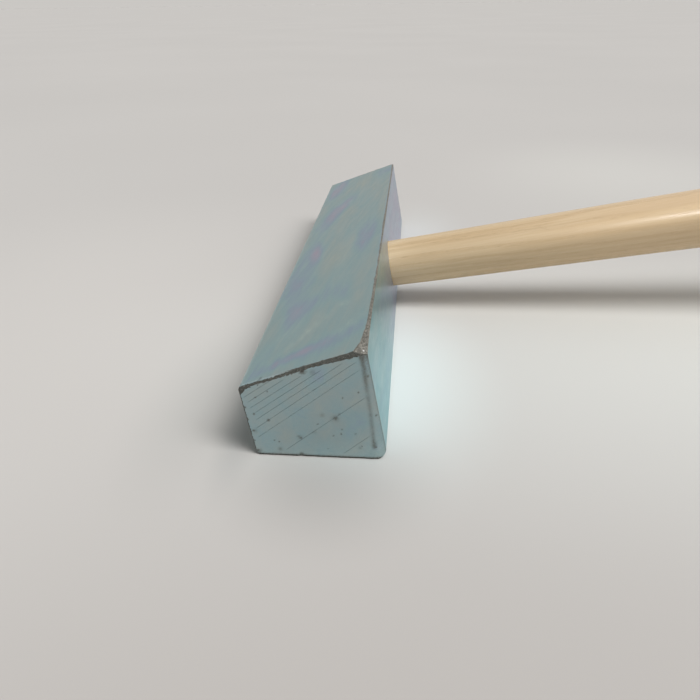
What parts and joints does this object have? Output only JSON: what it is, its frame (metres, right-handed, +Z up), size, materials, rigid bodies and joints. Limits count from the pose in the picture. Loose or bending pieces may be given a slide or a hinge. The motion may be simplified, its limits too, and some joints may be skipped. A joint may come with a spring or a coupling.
{
  "type": "glazier hammer",
  "caption": "Solid steel bar head of trapezoid section with flat glide faces and sawn ends, set square on a tapered round ash handle by a wedged tenon.",
  "frame": {"origin": "middle of the slanting glide face that the hammer lies on", "axes": "+X towards the side that the handle leaves on, +Y along the bar away from the ground corner, +Z up out of the surface that the hammer lies on"},
  "size_m": [0.2737, 0.16, 0.0625],
  "materials": {
    "zinc_steel": "satin zinc plate with a faint iridescent passivation",
    "ash": "bare sanded ash, straight grain",
    "wedge_wood": "bare end grain hardwood",
    "wedge_steel": "plain steel, hammered flush"
  },
  "bodies": {
    "root": {"head": "zinc_steel", "handle": "ash", "wood_wedge": "wedge_wood", "steel_wedge": "wedge_steel"}
  },
  "joints": []
}
